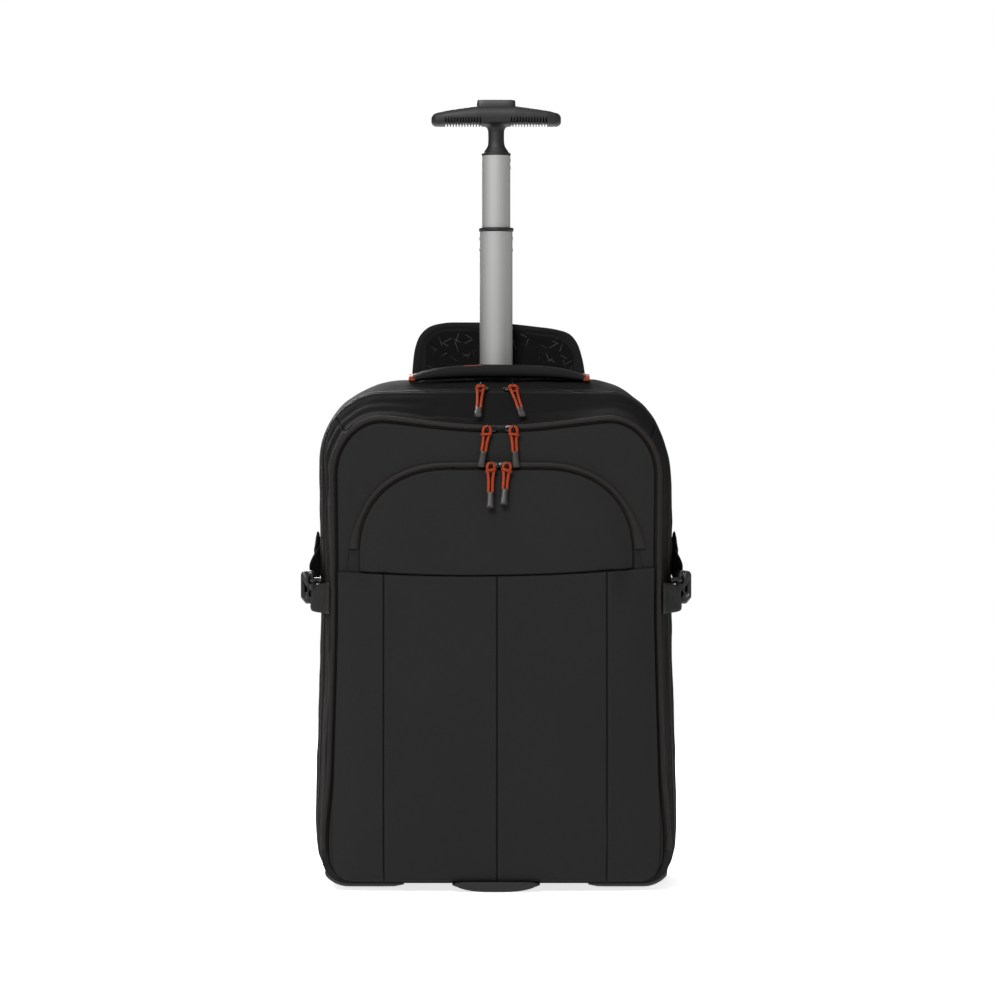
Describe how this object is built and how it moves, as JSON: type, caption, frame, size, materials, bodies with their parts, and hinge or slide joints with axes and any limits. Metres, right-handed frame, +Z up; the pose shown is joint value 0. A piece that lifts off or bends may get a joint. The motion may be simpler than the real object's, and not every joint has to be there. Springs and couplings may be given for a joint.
{
  "type": "wheeled backpack",
  "caption": "Upright cloth backpack on two wheels with a telescopic single-pole trolley handle, a front pocket, compression straps and shoulder straps.",
  "frame": {"origin": "middle of the footprint without the zip pulls, on the floor", "axes": "+X to the right seen from the front, +Y from the front to the back that is worn, +Z up"},
  "size_m": [0.3806, 0.2482, 0.775],
  "materials": {
    "cloth_front": "dense matt twill",
    "cloth_side": "dense matt twill",
    "zip_tape": "coated zip tape",
    "lining": "smooth printed lining",
    "webbing": "woven webbing",
    "plastic": "satin moulded",
    "slider": "black lacquer",
    "pull_cord": "braided cord",
    "pull_end": "matt",
    "pole_metal": "satin anodised",
    "foot_rubber": "matt",
    "tyre": "matt"
  },
  "bodies": {
    "bag": {"front_panel": "cloth_front", "upper_pocket": "cloth_front", "lower_pocket": "cloth_front", "grab_handle": "cloth_front", "trolley_flap": "cloth_front", "shoulder_strap_right": "cloth_front", "shoulder_strap_left": "cloth_front", "rear_shell": "cloth_side", "middle_shell": "cloth_side", "back_pad": "cloth_side", "main_zip": "zip_tape", "middle_zip": "zip_tape", "pocket_zip": "zip_tape", "flap_lining": "lining", "rear_strap_right": "webbing", "rear_strap_left": "webbing", "front_strap_right": "webbing", "front_strap_left": "webbing", "strap_webbing_right": "webbing", "strap_webbing_left": "webbing", "wheel_housing_right": "plastic", "wheel_housing_left": "plastic", "buckle_socket_right": "plastic", "buckle_socket_left": "plastic", "buckle_prongs_right": "plastic", "buckle_prongs_left": "plastic", "strap_adjuster_right": "plastic", "strap_adjuster_left": "plastic", "corner_guard_right": "plastic", "corner_guard_left": "plastic", "guide_tube": "plastic", "guide_bezel": "plastic", "zip_slider_a_left": "slider", "zip_slider_a_right": "slider", "zip_slider_b_left": "slider", "zip_slider_b_right": "slider", "zip_slider_c_left": "slider", "zip_slider_c_right": "slider", "pull_cord_a_left": "pull_cord", "pull_cord_a_right": "pull_cord", "pull_cord_b_left": "pull_cord", "pull_cord_b_right": "pull_cord", "pull_cord_c_left": "pull_cord", "pull_cord_c_right": "pull_cord", "pull_end_a_left": "pull_end", "pull_end_a_right": "pull_end", "pull_end_b_left": "pull_end", "pull_end_b_right": "pull_end", "pull_end_c_left": "pull_end", "pull_end_c_right": "pull_end", "stand_foot": "foot_rubber"},
    "lower_stage": {"lower_tube": "pole_metal", "tube_collar": "plastic"},
    "upper_stage": {"upper_tube": "pole_metal", "grip": "plastic"},
    "button": {"grip_button": "plastic"},
    "wheel_right": {"tyre_right": "tyre", "wheel_hub_right": "plastic"},
    "wheel_left": {"tyre_left": "tyre", "wheel_hub_left": "plastic"}
  },
  "joints": [
    {"name": "lower_slide", "type": "slide", "parent": "bag", "child": "lower_stage", "axis": [0, 0, 1], "range_m": [-0.145, 0.11]},
    {"name": "upper_slide", "type": "slide", "parent": "lower_stage", "child": "upper_stage", "axis": [0, 0, 1], "range_m": [-0.0725, 0.11]},
    {"name": "button_press", "type": "slide", "parent": "upper_stage", "child": "button", "axis": [0, 0, 1], "range_m": [-0.004, 0], "stiffness_N_per_m": 400, "springref_m": 0.002},
    {"name": "wheel_right_turn", "type": "hinge", "parent": "bag", "child": "wheel_right", "pos_m": [0.129, 0.0675, 0.032], "axis": [1, 0, 0], "continuous": true},
    {"name": "wheel_left_turn", "type": "hinge", "parent": "bag", "child": "wheel_left", "pos_m": [-0.129, 0.0675, 0.032], "axis": [1, 0, 0], "continuous": true}
  ]
}
